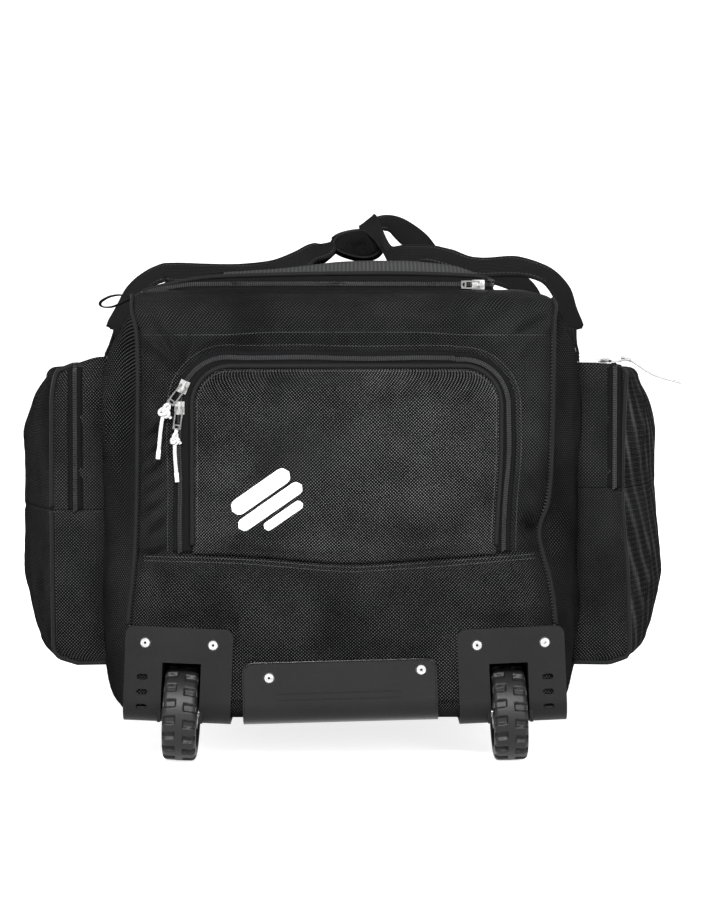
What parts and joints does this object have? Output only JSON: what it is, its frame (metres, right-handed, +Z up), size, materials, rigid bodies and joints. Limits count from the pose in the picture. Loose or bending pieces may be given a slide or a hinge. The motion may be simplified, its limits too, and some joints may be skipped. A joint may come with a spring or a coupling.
{
  "type": "wheeled hockey equipment bag",
  "caption": "Wheeled fabric hockey bag with a side-hinged zipped lid, end and side pockets, moulded wheel units, carry handles and a tow handle.",
  "frame": {"origin": "on the ground, under the middle of the bag's box", "axes": "+Z up, the wheel end faces -Y, +X is the right side seen from the wheel end"},
  "size_m": [0.6745, 0.9235, 0.5405],
  "materials": {
    "shell_fabric": "woven ballistic nylon",
    "lining": "plain coated lining",
    "board": "extruded sheet",
    "binding": "grosgrain binding over cord",
    "zip_tape": "zip tape with nylon coil",
    "webbing": "ribbed polyester webbing",
    "moulded_plate": "fine moulded grain",
    "gloss_plate": "semi-gloss, lightly scratched",
    "rivet_steel": "nickel-plated",
    "bush_plastic": "moulded nylon",
    "tyre_rubber": "moulded rubber",
    "hub_plastic": "moulded nylon",
    "lid_fabric": "ribbed grey fabric",
    "grip_rubber": "soft moulded rubber",
    "slider_metal": "nickel-plated die casting",
    "pull_metal": "dark plated wire",
    "lace_white": "flat woven lace"
  },
  "bodies": {
    "bag": {"bottom_panel": "shell_fabric", "wheel_end_lower_panel": "shell_fabric", "end_pocket_border": "shell_fabric", "top_gusset_panel": "shell_fabric", "side_panel_left": "shell_fabric", "side_panel_right": "shell_fabric", "far_end_panel": "shell_fabric", "deck_panel": "shell_fabric", "side_pocket_left": "shell_fabric", "side_pocket_right": "shell_fabric", "end_pocket_back": "lining", "base_board": "board", "corner_piping": "binding", "lid_zip_lower": "zip_tape", "end_zip_outer": "zip_tape", "side_zip_inner": "zip_tape", "webbing_anchors": "webbing", "corner_loop": "webbing", "wheel_housing_left": "moulded_plate", "wheel_housing_right": "moulded_plate", "far_feet": "moulded_plate", "centre_skid_plate": "gloss_plate", "rivets": "rivet_steel", "rivet_washers": "rivet_steel", "wheel_axles": "rivet_steel"},
    "wheel_left": {"tyre_left": "tyre_rubber", "hub_left": "hub_plastic", "wheel_bushes_left": "bush_plastic"},
    "wheel_right": {"tyre_right": "tyre_rubber", "hub_right": "hub_plastic", "wheel_bushes_right": "bush_plastic"},
    "lid": {"lid_panel": "lid_fabric", "lid_rim": "binding"},
    "lid_slider": {"lid_slider": "slider_metal"},
    "lid_pull": {"lid_pull": "pull_metal"},
    "end_flap": {"end_flap": "shell_fabric", "end_zip_inner": "zip_tape"},
    "end_slider_upper": {"end_slider_upper": "slider_metal"},
    "end_pull_upper": {"end_pull_upper": "pull_metal", "end_lace_upper": "lace_white"},
    "end_slider_lower": {"end_slider_lower": "slider_metal"},
    "end_pull_lower": {"end_pull_lower": "pull_metal", "end_lace_lower": "lace_white"},
    "pocket_flap_left": {"side_flap_left": "shell_fabric", "side_zip_outer_left": "zip_tape"},
    "pocket_flap_right": {"side_flap_right": "shell_fabric", "side_zip_outer_right": "zip_tape"},
    "left_slider": {"left_slider": "slider_metal"},
    "left_pull": {"left_pull": "pull_metal"},
    "right_slider_outer": {"right_slider_outer": "slider_metal"},
    "right_pull_outer": {"right_pull_outer": "pull_metal", "right_lace_outer": "lace_white"},
    "right_slider_inner": {"right_slider_inner": "slider_metal"},
    "right_pull_inner": {"right_pull_inner": "pull_metal", "right_lace_inner": "lace_white"},
    "handle_left": {"handle_left": "webbing"},
    "handle_right": {"handle_right": "webbing", "handle_wrap": "webbing"},
    "tow_handle": {"tow_strap": "webbing", "tow_grip": "grip_rubber"}
  },
  "joints": [
    {"name": "wheel_spin_left", "type": "hinge", "parent": "bag", "child": "wheel_left", "pos_m": [-0.154, -0.4175, 0.04535], "axis": [0.999, 0, -0.0436], "continuous": true},
    {"name": "wheel_spin_right", "type": "hinge", "parent": "bag", "child": "wheel_right", "pos_m": [0.154, -0.4175, 0.04535], "axis": [0.999, 0, 0.0436], "continuous": true},
    {"name": "lid_open", "type": "hinge", "parent": "bag", "child": "lid", "pos_m": [-0.192, 0, 0.442], "axis": [0, -1, 0], "range_deg": [0, 90]},
    {"name": "handle_left_swing", "type": "hinge", "parent": "bag", "child": "handle_left", "pos_m": [-0.237, 0, 0.412], "axis": [0, -1, 0], "range_deg": [0, 112.5]},
    {"name": "handle_right_swing", "type": "hinge", "parent": "bag", "child": "handle_right", "pos_m": [0.237, 0, 0.412], "axis": [0, 1, 0], "range_deg": [0, 135]},
    {"name": "lid_zip_run", "type": "slide", "parent": "bag", "child": "lid_slider", "axis": [-1, 0, 0], "range_m": [0, 0.25]},
    {"name": "lid_pull_flip", "type": "hinge", "parent": "lid_slider", "child": "lid_pull", "pos_m": [0.12655, -0.3963, 0.4485], "axis": [0, 0, 1], "range_deg": [0, 150]},
    {"name": "end_flap_open", "type": "hinge", "parent": "bag", "child": "end_flap", "pos_m": [0, -0.4487, 0.199], "axis": [1, 0, 0], "range_deg": [0, 140]},
    {"name": "end_zip_corner", "type": "hinge", "parent": "end_flap", "child": "end_slider_upper", "pos_m": [-0.108, -0.4491, 0.335], "axis": [0, 1, 0], "range_deg": [0, 67]},
    {"name": "end_pull_upper_flip", "type": "hinge", "parent": "end_slider_upper", "child": "end_pull_upper", "pos_m": [-0.14908, -0.4523, 0.35302], "axis": [-0.788, 0, 0.6157], "range_deg": [0, 150]},
    {"name": "end_zip_run", "type": "slide", "parent": "end_flap", "child": "end_slider_lower", "axis": [0, 0, -1], "range_m": [0, 0.12]},
    {"name": "end_pull_lower_flip", "type": "hinge", "parent": "end_slider_lower", "child": "end_pull_lower", "pos_m": [-0.15292, -0.4523, 0.33354], "axis": [-0.9903, 0, 0.1392], "range_deg": [0, 150]},
    {"name": "pocket_left_open", "type": "hinge", "parent": "bag", "child": "pocket_flap_left", "pos_m": [-0.3255, 0, 0.233], "axis": [0, -1, 0], "range_deg": [0, 90]},
    {"name": "pocket_right_open", "type": "hinge", "parent": "bag", "child": "pocket_flap_right", "pos_m": [0.3255, 0, 0.254], "axis": [0, 1, 0], "range_deg": [0, 90]},
    {"name": "left_zip_run", "type": "slide", "parent": "pocket_flap_left", "child": "left_slider", "axis": [0, -1, 0], "range_m": [0, 0.3]},
    {"name": "left_pull_flip", "type": "hinge", "parent": "left_slider", "child": "left_pull", "pos_m": [-0.258, 0.04695, 0.3758], "axis": [1, 0, 0], "range_deg": [0, 150]},
    {"name": "right_zip_run_outer", "type": "slide", "parent": "pocket_flap_right", "child": "right_slider_outer", "axis": [0, 1, 0], "range_m": [0, 0.25]},
    {"name": "right_pull_outer_flip", "type": "hinge", "parent": "right_slider_outer", "child": "right_pull_outer", "pos_m": [0.25745, -0.236, 0.3758], "axis": [0, -1, 0], "range_deg": [0, 100]},
    {"name": "right_zip_run_inner", "type": "slide", "parent": "pocket_flap_right", "child": "right_slider_inner", "axis": [0, -1, 0], "range_m": [0, 0.08]},
    {"name": "right_pull_inner_flip", "type": "hinge", "parent": "right_slider_inner", "child": "right_pull_inner", "pos_m": [0.258, -0.26145, 0.3758], "axis": [-1, 0, 0], "range_deg": [0, 150]},
    {"name": "tow_swing", "type": "hinge", "parent": "bag", "child": "tow_handle", "pos_m": [0, 0.4345, 0.331], "axis": [1, 0, 0], "range_deg": [0, 90]}
  ],
  "couplings": [
    {"joint": "handle_left_swing", "follows": "lid_open", "ratio": 1.25},
    {"joint": "handle_right_swing", "follows": "lid_open", "ratio": 1.5}
  ]
}
